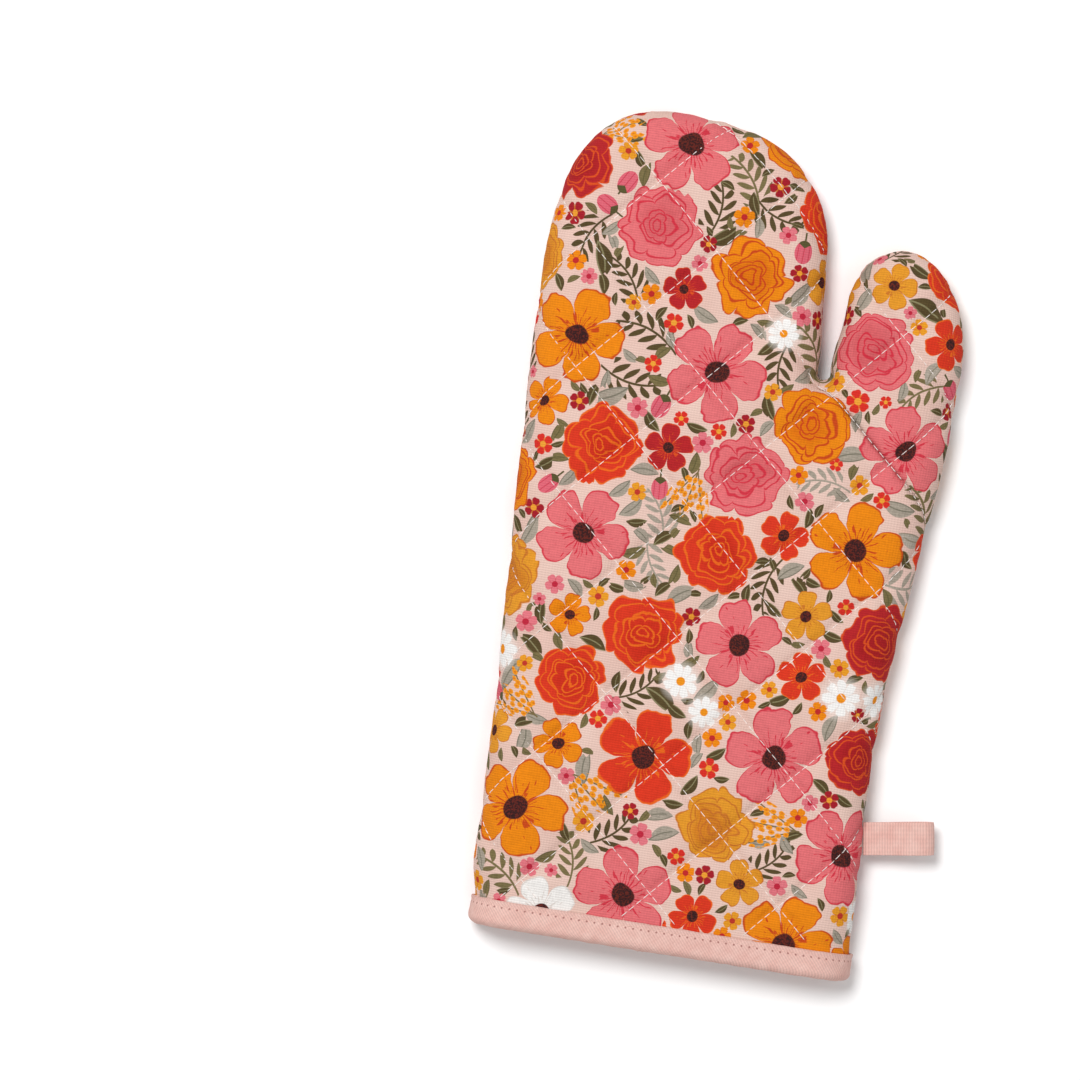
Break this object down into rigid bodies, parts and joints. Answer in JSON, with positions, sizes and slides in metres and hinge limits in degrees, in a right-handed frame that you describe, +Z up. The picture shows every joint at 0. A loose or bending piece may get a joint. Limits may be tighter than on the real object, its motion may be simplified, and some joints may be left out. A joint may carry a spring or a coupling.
{
  "type": "oven mitt",
  "caption": "Quilted cotton oven mitt lying flat: padded front and back sewn round a hand and thumb pocket, bound mouth, hanging loop in the side seam.",
  "frame": {"origin": "on the table, under the middle of the mitt's box", "axes": "+Y from the mouth to the fingertips, +Z up out of the palm, thumb on the +X side"},
  "size_m": [0.1832, 0.32, 0.0256],
  "materials": {
    "printed_cotton": "printed plain-weave cotton",
    "pink_twill": "cotton twill tape",
    "wadding": "needled wadding",
    "lining_cotton": "plain cotton lining",
    "pink_thread": "sewing thread"
  },
  "bodies": {
    "palm": {"front_shell_palm": "printed_cotton", "front_batting_palm": "wadding", "front_lining_palm": "lining_cotton", "back_shell_palm": "printed_cotton", "back_batting_palm": "wadding", "back_lining_palm": "lining_cotton", "cuff_binding": "pink_twill", "binding_stitching": "pink_thread", "loop_tail": "pink_twill"},
    "fingers": {"front_shell_fingers": "printed_cotton", "front_batting_fingers": "wadding", "front_lining_fingers": "lining_cotton", "back_shell_fingers": "printed_cotton", "back_batting_fingers": "wadding", "back_lining_fingers": "lining_cotton"},
    "thumb": {"front_shell_thumb": "printed_cotton", "front_batting_thumb": "wadding", "front_lining_thumb": "lining_cotton", "back_shell_thumb": "printed_cotton", "back_batting_thumb": "wadding", "back_lining_thumb": "lining_cotton"},
    "loop": {"hanging_loop": "pink_twill"}
  },
  "joints": [
    {"name": "finger_fold", "type": "hinge", "parent": "palm", "child": "fingers", "pos_m": [-0.037, 0.087, 0.0243], "axis": [1, 0, 0], "range_deg": [0, 90]},
    {"name": "thumb_fold", "type": "hinge", "parent": "palm", "child": "thumb", "pos_m": [0.02636, 0.07878, 0.0243], "axis": [0.9063, -0.4226, 0], "range_deg": [0, 75]},
    {"name": "loop_swing", "type": "hinge", "parent": "palm", "child": "loop", "pos_m": [0.06609, -0.10439, 0.01015], "axis": [0.1564, -0.9877, 0], "range_deg": [-80, 80]}
  ]
}
